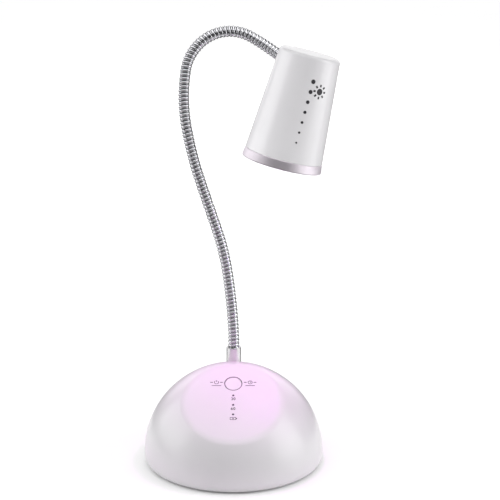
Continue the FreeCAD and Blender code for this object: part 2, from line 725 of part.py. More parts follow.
def head_shell(head, last_link):
    """White tapered cup with a closed, softly rounded top."""
    outer = revolved([(0, 0), (HEAD_MOUTH_RADIUS, 0), (HEAD_TOP_RADIUS, HEAD_LENGTH),
                      (0, HEAD_LENGTH)])
    outer = outer.makeFillet(HEAD_TOP_ROUND, rims_at(outer, HEAD_LENGTH))
    outer = outer.makeFillet(SEAM_ROUND, rims_at(outer, 0))
    top = HEAD_LENGTH - HEAD_WALL
    inner = revolved([(0, -1), (HEAD_MOUTH_RADIUS - HEAD_WALL, -1),
                      (HEAD_MOUTH_RADIUS - HEAD_WALL, 0),
                      (head_radius(top) - HEAD_WALL, top), (0, top)])
    boss = neck_in_head(cylinder(ENTRY_BOSS_RADIUS, -8, ENTRY_BOSS), head, last_link)
    posts = []
    for azimuth in SINK_POST_AZIMUTHS:
        x, y = polar(SINK_POST_CIRCLE, azimuth)
        post = cylinder(2.6, SINK_BASE_Z + SINK_BASE, HEAD_LENGTH - 1, x, y)
        pilot = cylinder(HEAT_SINK_SCREW[0], SINK_BASE_Z, SINK_BASE_Z + 14, x, y)
        posts.append(post.cut(pilot))
    shell = outer.cut(inner)
    shell = join([shell, boss.common(outer)] + posts)
    return shell.cut(neck_in_head(cylinder(NECK_RADIUS + 0.1, -20, 6), head, last_link))


def bezel_ring():
    """Satin metal ring round the mouth, with a sleeve inside the shell and a lens lip."""
    outer = revolved([(0, -RING_DEPTH), (RING_MOUTH_RADIUS, -RING_DEPTH),
                      (HEAD_MOUTH_RADIUS, 0), (0, 0)])
    outer = outer.makeFillet(RING_EDGE_ROUND, rims_at(outer, -RING_DEPTH))
    outer = outer.makeFillet(SEAM_ROUND, rims_at(outer, 0))
    sleeve_gap = HEAD_WALL + 0.15
    sleeve = revolved([(0, -1), (HEAD_MOUTH_RADIUS - sleeve_gap, -1),
                       (HEAD_MOUTH_RADIUS - sleeve_gap, 0),
                       (head_radius(5) - sleeve_gap, 5), (0, 5)])
    ring = join([outer, sleeve])
    bore = cylinder(LENS_RADIUS + 0.05, LENS_BOTTOM, 10)
    mouth = cylinder(LENS_RADIUS - RING_LIP, -10, 10)
    flare_top = LENS_BOTTOM - 0.6
    flare = revolved([(0, -RING_DEPTH - 1), (LENS_RADIUS + 0.4, -RING_DEPTH - 1),
                      (LENS_RADIUS - RING_LIP, flare_top), (0, flare_top)])
    return ring.cut(bore).cut(mouth).cut(flare)


def lens():
    """Clear window over the mouth, slightly domed on its inner side."""
    disc = cylinder(LENS_RADIUS, LENS_BOTTOM, LENS_BOTTOM + LENS_THICKNESS)
    crown_radius = 90.0
    crown = Part.makeSphere(crown_radius, Vector(0, 0, LENS_BOTTOM + LENS_THICKNESS + 0.8
                                                 - crown_radius))
    crown = crown.common(cylinder(11.0, LENS_BOTTOM + 1, LENS_BOTTOM + LENS_THICKNESS + 2))
    return join([disc, crown])


def lens_gasket():
    """Soft ring between the lens and the reflector."""
    low = LENS_BOTTOM + LENS_THICKNESS
    gasket = cylinder(LENS_RADIUS, low, low + 0.8)
    return gasket.cut(cylinder(LENS_RADIUS - 2.0, low - 1, low + 2))


def reflector():
    """Bright cone from the LEDs to the lens, with a flange on the gasket."""
    low = LENS_BOTTOM + LENS_THICKNESS + 0.8
    flange_top = low + 1.0
    outline = [
        (17.6, low), (LENS_RADIUS, low), (LENS_RADIUS, flange_top), (18.4, flange_top),
        (9.0, REFLECTOR_TOP), (8.0, REFLECTOR_TOP), (8.0, REFLECTOR_TOP - 0.8),
    ]
    return revolved(outline)


def led_board():
    """Round metal-backed board behind the reflector."""
    board = cylinder(LED_BOARD_RADIUS, REFLECTOR_TOP, SINK_BASE_Z)
    for x, y in led_board_screw_points():
        board = board.cut(cylinder(LED_BOARD_SCREW[0] + SCREW_ROOM / 2, 0, BEYOND, x, y))
    return board


def led_board_screw_points():
    """Centres of the two screws that hold the LED board to the heat sink."""
    return [polar(12.0, 15), polar(12.0, 255)]


def led_board_screws():
    """Two screws up through the LED board into the heat sink."""
    return screws_at(led_board_screw_points(), REFLECTOR_TOP, LED_BOARD_SCREW)


def uv_leds():
    """Four UV LEDs in a square at the throat of the reflector."""
    chips = []
    for quarter in range(4):
        x, y = polar(3.9, 45 + 90 * quarter)
        base = block(3.5, 3.5, REFLECTOR_TOP - 0.8, REFLECTOR_TOP, x, y)
        dome = Part.makeSphere(1.4, Vector(x, y, REFLECTOR_TOP - 0.8))
        dome = dome.common(cylinder(1.6, REFLECTOR_TOP - 3, REFLECTOR_TOP - 0.8, x, y))
        chips.append(join([base, dome]))
    return Part.makeCompound(chips)


def heat_sink():
    """Finned aluminium block behind the LED board."""
    top = SINK_BASE_Z + SINK_BASE
    disc = cylinder(SINK_RADIUS, SINK_BASE_Z, top)
    core = cylinder(11.4, top - 0.5, SINK_TOP_Z)
    fins = [block(1.3, 30, top - 0.5, SINK_TOP_Z, 4.4 * place, 0).common(core)
            for place in range(-2, 3)]
    sink = join([disc] + fins)
    for azimuth in SINK_POST_AZIMUTHS:
        x, y = polar(SINK_POST_CIRCLE, azimuth)
        sink = sink.cut(cylinder(HEAT_SINK_SCREW[0] + SCREW_ROOM, 10, top + 0.2, x, y))
        sink = sink.cut(cylinder(HEAT_SINK_SCREW[2] + SCREW_ROOM, 10, SINK_BASE_Z + SINK_RECESS,
                                 x, y))
    for x, y in led_board_screw_points():
        sink = sink.cut(cylinder(LED_BOARD_SCREW[0] + 0.05, 10, SINK_BASE_Z + 3.6, x, y))
    slot_x, slot_y = LEAD_SLOT
    return sink.cut(cylinder(1.8, 10, top + 1, slot_x, slot_y))


def heat_sink_screws():
    """Three screws up through the heat sink into the shell's posts."""
    points = [polar(SINK_POST_CIRCLE, azimuth) for azimuth in SINK_POST_AZIMUTHS]
    return screws_at(points, SINK_BASE_Z + SINK_RECESS, HEAT_SINK_SCREW)


def clamp_collar(head, last_link):
    """Collar on the neck's end, tight against the shell's inner boss."""
    low = ENTRY_BOSS + 0.05
    collar = cylinder(CLAMP_RADIUS, low, low + CLAMP_LENGTH)
    collar = collar.cut(cylinder(NECK_RADIUS + 0.05, 0, 20))
    hole = Part.makeCylinder(GRUB_RADIUS + 0.02, 20, Vector(0, 0, low + CLAMP_LENGTH / 2), X_AXIS)
    return neck_in_head(collar.cut(hole), head, last_link)


def clamp_grub_screw(head, last_link):
    """Grub screw that grips the neck's end."""
    middle = Vector(NECK_RADIUS + 0.05, 0, ENTRY_BOSS + 0.05 + CLAMP_LENGTH / 2)
    grub = Part.makeCylinder(GRUB_RADIUS, 2.0, middle, X_AXIS)
    return neck_in_head(grub, head, last_link)


def head_lead(head, last_link):
    """Lead from the neck's last knuckle to the LED board."""
    knuckle_end = last_link.rod(BALL_RADIUS + LEAD_CLEAR, last_link.length, LEAD_RADIUS)
    tail = placed(cylinder(LEAD_RADIUS, 0, NECK_TAIL), last_link.at(last_link.length))
    tail_end = Vector(0, 0, NECK_TAIL)
    tail_before = Vector(0, 0, NECK_TAIL - 1)
    to_head = head.inverse().multiply(last_link.at(last_link.length))
    end = to_head.multVec(tail_end)
    heading = end - to_head.multVec(tail_before)
    bend = end + heading * 4.0
    slot_x, slot_y = LEAD_SLOT
    points = [tuple(end), tuple(bend), (slot_x + 1.5, slot_y - 2.5, 41.0),
              (slot_x, slot_y, 30.0), (slot_x, slot_y, SINK_BASE_Z)]
    drop = placed(lead(points), head)
    return join([knuckle_end, tail, drop])


def export(name, shape):
    """Write one node, after checking that it is whole."""
    if not shape.isValid() or not shape.Solids:
        raise ValueError(name + " is not a valid solid")
    Part.makeCompound(shape.Solids).exportStep("parts/" + name + ".step")


def main():
    """Build and write every node."""
    os.makedirs("parts", exist_ok=True)
    links = neck_chain()
    last = links[-1]
    head = head_placement(last)

    base_parts = {
        "base_shell": base_shell(),
        "base_plate": base_plate(),
        "anti_slip_pad": anti_slip_pad(),
        "ballast_plate": ballast_plate(),
        "base_screws": base_screws(),
        "ballast_screws": ballast_screws(),
        "control_board": control_board(),
        "board_screws": board_screws(),
        "control_chips": control_chips(),
        "switch_housing": switch_housing(),
        "switch_plunger": switch_plunger(),
        "button_cap": button_cap(),
        "battery_tray": battery_tray(),
        "battery_cell": battery_cell(),
        "battery_lead": battery_lead(),
        "socket_shell": socket_shell(),
        "socket_tongue": socket_tongue(),
        "charge_board": charge_board(),
        "charge_board_screws": charge_board_screws(),
        "charge_lead": charge_lead(),
        "neck_collar": neck_collar(),
        "neck_washer": neck_washer(),
        "neck_nut": neck_nut(),
        "neck_root": neck_root(links[0]),
        "base_lead": join([base_lead(), root_lead(links[0])]),
    }
    for number, up in enumerate(INDICATOR_UPS, start=1):
        base_parts["indicator_lens_%d" % number] = indicator_lens(up)
        base_parts["indicator_led_%d" % number] = indicator_led(up)
    for name, shape in base_parts.items():
        export(name, shape)

    for number, link in enumerate(links[1:-1], start=1):
        export("neck_segment_%d" % number, neck_segment(link))
        export("neck_lead_%d" % number, neck_lead(link))

    export("neck_tip", neck_tip(last))
    export("head_lead", head_lead(head, last))
    head_parts = {
        "head_shell": head_shell(head, last),
        "bezel_ring": bezel_ring(),
        "lens": lens(),
        "lens_gasket": lens_gasket(),
        "reflector": reflector(),
        "led_board": led_board(),
        "led_board_screws": led_board_screws(),
        "uv_leds": uv_leds(),
        "heat_sink": heat_sink(),
        "heat_sink_screws": heat_sink_screws(),
        "clamp_collar": clamp_collar(head, last),
        "clamp_grub_screw": clamp_grub_screw(head, last),
    }
    for name, shape in head_parts.items():
        export(name, placed(shape, head))

    for number, link in enumerate(links[1:], start=1):
        centre = link.start.Base
        side = link.start.Rotation.multVec(Y_AXIS)
        across = link.start.Rotation.multVec(-X_AXIS)
        axis = side if number % 2 else across
        print("knuckle %d" % number, [round(value, 4) for value in centre],
              [round(value, 6) for value in axis])


main()
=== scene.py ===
"""Looks of the gooseneck UV curing lamp: materials, coil neck, printed marks and light.

Units are metres unless a name says otherwise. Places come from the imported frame: the
joints' pivots, the nodes' boxes and their flat faces. -Y is the front and the head
hangs out over +X.
"""

import json
import math

import bpy
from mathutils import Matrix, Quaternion, Vector
from mathutils.bvhtree import BVHTree


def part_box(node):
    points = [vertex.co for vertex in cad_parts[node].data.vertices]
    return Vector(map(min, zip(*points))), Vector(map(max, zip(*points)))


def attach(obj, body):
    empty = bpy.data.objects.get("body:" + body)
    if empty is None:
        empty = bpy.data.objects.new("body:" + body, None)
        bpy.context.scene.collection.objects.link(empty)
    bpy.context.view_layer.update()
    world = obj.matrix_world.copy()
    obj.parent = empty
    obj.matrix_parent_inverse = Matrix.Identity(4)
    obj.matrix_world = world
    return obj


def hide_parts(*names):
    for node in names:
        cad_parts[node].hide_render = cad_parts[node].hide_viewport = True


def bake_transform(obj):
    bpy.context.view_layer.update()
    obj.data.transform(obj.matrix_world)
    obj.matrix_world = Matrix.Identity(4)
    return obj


MM = 0.001
UP = Vector((0, 0, 1))
FRONT = Vector((0, -1, 0))
RIGHT = Vector((1, 0, 0))

# --- Neck coil: a round wire with a thinner one lying in its groove ----------------
NECK_JOINTS = 8
COIL_PITCH = 2.4 * MM
COIL_RADIUS = 3.5 * MM
COIL_IN_COLLAR = 4 * MM          # length of coil below the collar's top
ROUND_WIRE = 0.69 * MM
ROUND_SIDES = 10
FILLER_WIRE = 0.53 * MM
FILLER_SIDES = 8
FILLER_SUNK_LOW = 0.36 * MM      # how far the thin wire lies below the round one's crest
FILLER_SUNK_HIGH = 0.34 * MM     # the same where the neck enters the head
FILLER_RISE = 0.6                # share of the neck after which one turns into the other
GROOVE_SHADE_TOP = 2.83 * MM             # painted shade in the grooves between turns thins out above this radius
GROOVE_SHADE_FADE = 0.4 * MM
STEPS_PER_TURN = 36

# --- Printed marks: layer thickness, and how finely strokes are cut ------------------
INK_LIFT = 0.04 * MM
INK_SUNK = 0.03 * MM
INK_COLUMNS = 5                  # points across a stroke
ARC_STEP = 12                    # degrees
LINE_STEP = 0.5                  # millimetres
DOT_ROWS = 10

# --- Marks on the control face, in millimetres on its surface ------------------------
SIGN_SHIFT = 10.2                # from the button's centre to the sign each side of it
SIGN_UP = 1.0
SIGN_RADIUS = 1.25
SIGN_STROKE = 0.36
DASH_INNER = 2.1                 # a dash runs from here to there each side of a sign
DASH_OUTER = 3.8
DASH_STROKE = 0.5
UNDERLINE_UP = -1.6
UNDERLINE_HALF = 2.9
UNDERLINE_STROKE = 0.4
BUTTON_RING_RADIUS = 5.33
BUTTON_RING_STROKE = 0.27
FIGURE_HEIGHT = 1.8
FIGURE_SHIFT = 0.75              # of each figure from the middle of its pair
BATTERY_HALF_WIDTH = 1.7
BATTERY_HALF_HEIGHT = 0.85
BATTERY_STROKE = 0.34
TERMINAL_GAP = 0.35
TERMINAL_HALF = 0.4
PLUS_HALF = 0.5

# --- Marks on the head, in millimetres on its wall -----------------------------------
WALL_RADIUS = 20.0               # turns a distance round the wall into an angle
MARKS_AZIMUTH = 10.0             # degrees round from the front
DOT_COUNT = 7
DOT_START = (-0.4, 12.0)         # distance round the wall and height of the lowest dot
DOT_STEP = (0.25, 6.0)
DOT_RADIUS = 0.55
DOT_GROWTH = 0.13                # each dot's radius over that of the one below
SUN_PLACE = (6.6, 43.0)
SUN_RADIUS = 4.2
SUN_STROKE = 1.1
RAY_START = 0.1                  # metres from the head's axis, well outside its wall

# --- View --------------------------------------------------------------------------
CAMERA_ELEVATION = math.radians(16.2)
CAMERA_DISTANCE = 1.0
CAMERA_LENS = 120.6
CAMERA_TARGET = Vector((10.1, 0.0, 134.5)) * MM
CAMERA_CLIP = (0.05, 50.0)

# --- The lamp's own light ----------------------------------------------------------
LAMP_LIGHT_SIZE = 34 * MM
LAMP_LIGHT_DROP = 8 * MM         # below the seam between the head and its ring
LAMP_LIGHT_SPREAD = math.radians(70)
LAMP_LIGHT_POWER = 0.016
LAMP_LIGHT_COLOUR = (1.0, 0.25, 1.0)

# --- Studio: name, place, target, width, height and power of each soft light ---------
SOFTBOXES = (
    ("light_left", (-1.0, 0.2, 0.42), (0.0, 0.2, 0.42), 1.2, 0.7, 4.4),
    ("light_right", (1.0, -0.25, 0.5), (0.0, -0.25, 0.5), 0.8, 1.0, 6.8),
    ("light_back", (0.0, 1.5, 0.65), (0.0, 0.0, 0.65), 2.2, 1.0, 8.0),
)
HEAD_LIGHT = ("light_head", (-0.6, -0.15, 0.3), (0.03, 0.0, 0.23), 0.35, 0.25, 0.16)
HEAD_LIGHT_SPREAD = math.radians(50)
SUN_POWER = 2.08
SUN_ANGLE = math.radians(90)
SUN_AIM = Vector((0.0, 0.15, -1.0))
WORLD_COLOUR = (0.09, 0.09, 0.092, 1.0)
FLOOR_REACH = 6.0
NEAR_FLOOR_LEFT = -0.25          # the near floor runs from here to the right-hand end
NEAR_FLOOR_FRONT = -0.1
NEAR_FLOOR_BACK = 0.12
FLOOR_GLOW = (0.06, 0.34)        # emission beside the lamp and away from it; the dimmer glow beside it is painted shade round the lamp's base
FLOOR_GLOW_REACH = (0.05, 0.4)   # distances from the lamp's middle where those hold

# --- Noise textures mostly give values in this range ---------------------------------
NOISE_LOW = 0.3
NOISE_HIGH = 0.7

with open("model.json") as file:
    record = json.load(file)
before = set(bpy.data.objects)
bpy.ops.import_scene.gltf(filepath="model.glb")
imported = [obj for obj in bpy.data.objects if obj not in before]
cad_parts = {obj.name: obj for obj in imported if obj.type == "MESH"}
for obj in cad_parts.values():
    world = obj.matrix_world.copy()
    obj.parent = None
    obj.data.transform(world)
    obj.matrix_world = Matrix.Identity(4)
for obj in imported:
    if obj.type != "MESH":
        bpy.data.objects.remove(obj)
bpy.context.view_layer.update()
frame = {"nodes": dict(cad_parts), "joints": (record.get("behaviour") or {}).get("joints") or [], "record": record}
nodes = frame["nodes"]
joints = {joint["name"]: joint for joint in frame["joints"]}


# --- Reading places from the frame ---------------------------------------------------

def largest_flat(node):
    """Centre and outward normal of a node's largest flat face."""
    groups = {}
    for polygon in nodes[node].data.polygons:
        normal = polygon.normal
        key = tuple(round(value, 3) for value in (*normal, normal @ polygon.center / MM))
        area, moment, turn = groups.get(key, (0.0, Vector(), normal))
        groups[key] = (area + polygon.area, moment + polygon.area * polygon.center, turn)
    area, moment, normal = max(groups.values(), key=lambda group: group[0])
    return moment / area, normal.copy()


def reach_along(node, direction):
    """Greatest distance of a node's points along a direction."""
    return max(vertex.co @ direction for vertex in nodes[node].data.vertices)


def pivot(number):
    """Pivot of one of the neck's joints."""
    return Vector(joints["neck_bend_%d" % number]["pos_m"])


# --- Materials -----------------------------------------------------------------------

class Finish:
    """A Principled material and the steps that give it procedural detail."""

    def __init__(self, name, **settings):
        self.material = bpy.data.materials.new(name)
        self.material.use_nodes = True
        self.tree = self.material.node_tree
        self.shader = self.tree.nodes["Principled BSDF"]
        self.place = self.add("ShaderNodeTexCoord").outputs["Object"]
        for socket, value in settings.items():
            self.shader.inputs[socket.replace("_", " ")].default_value = value

    def add(self, kind, **inputs):
        """New node with some of its inputs set."""
        node = self.tree.nodes.new(kind)
        for socket, value in inputs.items():
            node.inputs[socket.replace("_", " ")].default_value = value
        return node

    def link(self, output, socket):
        """Connect two sockets."""
        self.tree.links.new(output, socket)

    def noise(self, size, detail=3.0, stretch=None):
        """Noise whose features are about a size across, or stretched along axes."""
        node = self.add("ShaderNodeTexNoise", Scale=1.0 / size, Detail=detail)
        vector = self.place
        if stretch:
            mapping = self.add("ShaderNodeMapping", Scale=stretch)
            self.link(vector, mapping.inputs["Vector"])
            vector = mapping.outputs["Vector"]
        self.link(vector, node.inputs["Vector"])
        return node.outputs["Fac"]

    def spread(self, value, low, high):
        """A noise value mapped to a range."""
        node = self.add("ShaderNodeMapRange", From_Min=NOISE_LOW, From_Max=NOISE_HIGH,
                        To_Min=low, To_Max=high)
        self.link(value, node.inputs["Value"])
        return node.outputs["Result"]

    def colour(self, value, first, second):
        """Base colour that runs between two colours with a noise value."""
        node = self.add("ShaderNodeValToRGB")
        node.color_ramp.elements[0].position = NOISE_LOW
        node.color_ramp.elements[0].color = (*first, 1.0)
        node.color_ramp.elements[1].position = NOISE_HIGH
        node.color_ramp.elements[1].color = (*second, 1.0)
        self.link(value, node.inputs["Fac"])
        self.link(node.outputs["Color"], self.shader.inputs["Base Color"])

    def roughness(self, value, low, high):
        """Roughness that runs between two values with a noise value."""
        self.link(self.spread(value, low, high), self.shader.inputs["Roughness"])

    def bump(self, value, height, strength=1.0):
        """Relief of a height in metres from a noise value."""
        node = self.add("ShaderNodeBump", Strength=strength, Distance=height)
        self.link(value, node.inputs["Height"])
        self.link(node.outputs["Normal"], self.shader.inputs["Normal"])

    def turned(self, centre, axis, width):
        """Fine rings about an axis, as a lathe leaves them."""
        inverse = UP.rotation_difference(axis).to_matrix().transposed()
        mapping = self.add("ShaderNodeMapping", Location=-(inverse @ centre),
                           Rotation=inverse.to_euler())
        split = self.add("ShaderNodeSeparateXYZ")
        across = self.add("ShaderNodeCombineXYZ")
        length = self.add("ShaderNodeVectorMath")
        length.operation = "LENGTH"
        rings = self.add("ShaderNodeCombineXYZ")
        noise = self.add("ShaderNodeTexNoise", Scale=1.0 / width, Detail=2.0)
        self.link(self.place, mapping.inputs["Vector"])
        self.link(mapping.outputs["Vector"], split.inputs["Vector"])
        self.link(split.outputs["X"], across.inputs["X"])
        self.link(split.outputs["Y"], across.inputs["Y"])
        self.link(across.outputs["Vector"], length.inputs[0])
        self.link(length.outputs["Value"], rings.inputs["X"])
        self.link(split.outputs["Z"], rings.inputs["Z"])
        self.link(rings.outputs["Vector"], noise.inputs["Vector"])
        return noise.outputs["Fac"]


def white_shell():
    """Soft gloss white moulding with faint flow marks and handling haze."""
    finish = Finish("white_shell", Coat_Weight=0.5, Coat_Roughness=0.24)
    finish.colour(finish.noise(35 * MM), (0.63, 0.62, 0.635), (0.66, 0.65, 0.665))
    finish.roughness(finish.noise(9 * MM), 0.31, 0.4)
    finish.bump(finish.noise(1.6 * MM, detail=2.0), 0.004 * MM, 0.6)
    return finish.material


def moulded(name, dark, light, grain=0.5 * MM, low=0.45, high=0.6):
    """Plain moulded plastic with a fine grain."""
    finish = Finish(name)
    finish.colour(finish.noise(8 * MM), dark, light)
    finish.roughness(finish.noise(3 * MM), low, high)
    finish.bump(finish.noise(grain), 0.03 * MM)
    return finish.material


def pad_rubber():
    """Black rubber with a pebbled face and patchy dust."""
    finish = Finish("pad_rubber", Specular_IOR_Level=0.3)
    pebbles = finish.add("ShaderNodeTexVoronoi", Scale=1.0 / (0.9 * MM))
    finish.link(finish.place, pebbles.inputs["Vector"])
    finish.colour(finish.noise(6 * MM), (0.035, 0.034, 0.036), (0.075, 0.073, 0.076))
    finish.roughness(finish.noise(2 * MM), 0.7, 0.85)
    finish.bump(pebbles.outputs["Distance"], 0.12 * MM)
    return finish.material


def plated_steel():
    """Zinc plated steel, slightly mottled."""
    finish = Finish("plain_steel", Metallic=1.0)
    finish.colour(finish.noise(2.5 * MM), (0.52, 0.52, 0.54), (0.66, 0.66, 0.67))
    finish.roughness(finish.noise(1.2 * MM), 0.3, 0.44)
    finish.bump(finish.noise(0.3 * MM), 0.01 * MM)
    return finish.material


def turned_metal(name, centre, axis, dark, light, low, high):
    """Satin metal with fine lathe rings."""
    finish = Finish(name, Metallic=1.0, Anisotropic=0.5)
    rings = finish.turned(centre, axis, 0.16 * MM)
    finish.colour(finish.noise(5 * MM), dark, light)
    finish.roughness(rings, low, high)
    finish.bump(rings, 0.008 * MM, 0.7)
    return finish.material


def neck_chrome():
    """Bright plated wire with drawing lines; its colour falls to near black in the grooves between turns as
    painted shade.
    """
    finish = Finish("neck_chrome", Metallic=1.0)
    depth = finish.add("ShaderNodeAttribute")
    depth.attribute_name = "crest"
    # Near black below the crests and plated colour on them: painted shade in the grooves between turns.
    finish.colour(depth.outputs["Fac"], (0.02, 0.02, 0.024), (0.82, 0.82, 0.85))
    finish.roughness(finish.noise(1.5 * MM), 0.08, 0.2)
    finish.bump(finish.noise(0.12 * MM), 0.003 * MM)
    return finish.material


def sink_aluminium():
    """Extruded aluminium with lines along its fins."""
    finish = Finish("sink_aluminium", Metallic=1.0)
    lines = finish.noise(2 * MM, stretch=(1.0, 1.0, 14.0))
    finish.colour(lines, (0.6, 0.6, 0.61), (0.72, 0.72, 0.73))
    finish.roughness(lines, 0.3, 0.48)
    finish.bump(lines, 0.01 * MM)
    return finish.material


def lens_clear():
    """Clear window with the faintest haze."""
    finish = Finish("lens_clear", Transmission_Weight=1.0, IOR=1.46)
    finish.colour(finish.noise(12 * MM), (0.93, 0.9, 0.95), (0.97, 0.95, 0.98))
    finish.roughness(finish.noise(4 * MM), 0.02, 0.07)
    finish.bump(finish.noise(5 * MM), 0.01 * MM, 0.4)
    return finish.material


def reflector_silver():
    """Metallised cone with a slight orange peel."""
    finish = Finish("reflector_silver", Metallic=1.0)
    finish.colour(finish.noise(10 * MM), (0.86, 0.86, 0.88), (0.92, 0.92, 0.94))
    finish.roughness(finish.noise(3 * MM), 0.06, 0.14)
    finish.bump(finish.noise(1.4 * MM), 0.015 * MM)
    return finish.material


def circuit_board(name, dark, light):
    """Solder mask over faint copper tracks."""
    finish = Finish(name, Coat_Weight=0.3)
    tracks = finish.add("ShaderNodeTexVoronoi", Scale=1.0 / (2.2 * MM))
    tracks.distance = "MANHATTAN"
    finish.link(finish.place, tracks.inputs["Vector"])
    finish.colour(tracks.outputs["Distance"], dark, light)
    finish.roughness(finish.noise(2 * MM), 0.3, 0.45)
    finish.bump(tracks.outputs["Distance"], 0.02 * MM)
    return finish.material


def uv_emitter():
    """Violet chips under clear domes, lit."""
    finish = Finish("uv_emitter", Emission_Color=(0.62, 0.24, 1.0, 1.0), Emission_Strength=6.0)
    finish.colour(finish.noise(1 * MM), (0.5, 0.25, 0.75), (0.75, 0.5, 0.95))
    finish.roughness(finish.noise(0.8 * MM), 0.1, 0.25)
    finish.bump(finish.noise(0.5 * MM), 0.01 * MM)
    return finish.material


def cell_wrap():
    """Blue shrink sleeve with lengthways draw lines."""
    finish = Finish("cell_wrap", Coat_Weight=0.4)
    finish.colour(finish.noise(7 * MM), (0.05, 0.14, 0.38), (0.08, 0.2, 0.48))
    finish.roughness(finish.noise(2 * MM), 0.3, 0.42)
    finish.bump(finish.noise(3 * MM, stretch=(0.2, 1.0, 1.0)), 0.03 * MM)
    return finish.material


def ink():
    """Dark printing ink, a little uneven."""
    finish = Finish("ink")
    finish.colour(finish.noise(0.6 * MM), (0.018, 0.016, 0.02), (0.034, 0.03, 0.036))
    finish.roughness(finish.noise(0.4 * MM), 0.4, 0.6)
    finish.bump(finish.noise(0.2 * MM), 0.006 * MM)
    return finish.material


def floor_paint():
    """Pale studio floor whose glow is painted light, dimmer beside the lamp so that it paints shade round the
    lamp's base.
    """
    finish = Finish("floor_paint", Emission_Color=(1.0, 1.0, 1.0, 1.0))
    distance = finish.add("ShaderNodeVectorMath")
    distance.operation = "LENGTH"
    # Painted light: the floor's glow, low beside the lamp as painted shade round its base.
    glow = finish.add("ShaderNodeMapRange",
                      From_Min=FLOOR_GLOW_REACH[0], From_Max=FLOOR_GLOW_REACH[1],
                      To_Min=FLOOR_GLOW[0], To_Max=FLOOR_GLOW[1])
    finish.link(finish.place, distance.inputs[0])
    finish.link(distance.outputs["Value"], glow.inputs["Value"])
    finish.link(glow.outputs["Result"], finish.shader.inputs["Emission Strength"])
    finish.colour(finish.noise(0.4), (0.88, 0.88, 0.88), (0.91, 0.91, 0.91))
    finish.roughness(finish.noise(0.1), 0.85, 0.95)
    return finish.material


def paint_nodes(collar_centre, head_centre, head_axis):
    """Give every carried-over node the material of its slot."""
    slots = {
        "white_shell": white_shell(),
        "grey_plastic": moulded("grey_plastic", (0.40, 0.40, 0.41), (0.47, 0.47, 0.48)),
        "black_plastic": moulded("black_plastic", (0.02, 0.02, 0.02), (0.04, 0.04, 0.04)),
        "pad_rubber": pad_rubber(),
        "plain_steel": plated_steel(),
        "collar_metal": turned_metal("collar_metal", collar_centre, UP, (0.66, 0.65, 0.66),
                                     (0.74, 0.73, 0.74), 0.12, 0.24),
        "neck_chrome": neck_chrome(),
        # The ring's pink tint is painted light: the lamp's violet glow falling on it.
        "ring_metal": turned_metal("ring_metal", head_centre, head_axis, (0.86, 0.8, 0.86),
                                   (0.92, 0.86, 0.92), 0.46, 0.58),
        "sink_aluminium": sink_aluminium(),
        "lens_clear": lens_clear(),
        "reflector_silver": reflector_silver(),
        "board_green": circuit_board("board_green", (0.02, 0.14, 0.06), (0.05, 0.24, 0.11)),
        "board_white": circuit_board("board_white", (0.68, 0.68, 0.68), (0.78, 0.78, 0.78)),
        "uv_emitter": uv_emitter(),
        "indicator_body": moulded("indicator_body", (0.7, 0.66, 0.45), (0.82, 0.78, 0.6)),
        "indicator_window": moulded("indicator_window", (0.05, 0.04, 0.06), (0.09, 0.08, 0.1),
                                    grain=0.2 * MM, low=0.12, high=0.25),
        "cell_wrap": cell_wrap(),
        "lead_jacket": moulded("lead_jacket", (0.03, 0.03, 0.035), (0.06, 0.06, 0.065)),
    }
    for row in frame["record"]["subparts"]:
        nodes[row["node"]].material_slots[0].material = slots[row["material_slot"]]
    return slots


# --- Building meshes -------------------------------------------------------------------

def new_piece(name, points, faces, material, smooth=True):
    """Mesh object from points and faces."""
    mesh = bpy.data.meshes.new(name)
    mesh.from_pydata([tuple(point) for point in points], [], faces)
    mesh.materials.append(material)
    mesh.polygons.foreach_set("use_smooth", [smooth] * len(mesh.polygons))
    mesh.update()
    piece = bpy.data.objects.new(name, mesh)
    bpy.context.scene.collection.objects.link(piece)
    return piece


class NeckArc:
    """Part of the neck's centreline: the arc that leaves a point along a heading."""

    def __init__(self, distance, start, heading, side, finish):
        chord = finish - start
        half = heading.angle(chord)
        self.distance = distance
        self.radius = chord.length / (2 * math.sin(half))
        self.length = 2 * half * self.radius
        self.axis = heading.cross(chord).normalized()
        self.centre = start + self.axis.cross(heading) * self.radius
        self.start = start
        self.heading = heading
        self.side = side

    def at(self, distance):
        """Point, heading and side vector at a distance along the neck."""
        turn = Quaternion(self.axis, (distance - self.distance) / self.radius)
        return (self.centre + turn @ (self.start - self.centre),
                turn @ self.heading, turn @ self.side)


class Neck:
    """Centreline of the neck from the collar's top to its end inside the head."""

    def __init__(self):
        low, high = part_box("neck_collar")
        start = Vector(((low.x + high.x) / 2, (low.y + high.y) / 2, high.z))
        heading = UP
        side = RIGHT
        self.arcs = []
        self.pivots = [0.0]
        for number in range(1, NECK_JOINTS + 1):
            start, heading, side = self.add(start, heading, side, pivot(number))
            self.pivots.append(self.length)
        tail, tail_heading = largest_flat("neck_tip")
        aim = heading + tail_heading
        square = tail_heading.cross(aim)
        back = (tail - start).cross(aim) @ square / square.length_squared
        self.add(start, heading, side, tail - tail_heading * back)
        self.entry = self.length
        self.end = self.length + back

    @property
    def length(self):
        """Length of the arcs so far."""
        return self.arcs[-1].distance + self.arcs[-1].length if self.arcs else 0.0

    def add(self, start, heading, side, finish):
        """Add an arc and return where and how it ends."""
        self.arcs.append(NeckArc(self.length, start, heading, side, finish))
        return self.arcs[-1].at(self.length)

    def at(self, distance):
        """Point, heading and side vector, straight on beyond either end."""
        inside = min(max(distance, 0.0), self.length)
        arc = max((arc for arc in self.arcs if arc.distance <= inside),
                  key=lambda arc: arc.distance)
        point, heading, side = arc.at(inside)
        return point + heading * (distance - inside), heading, side


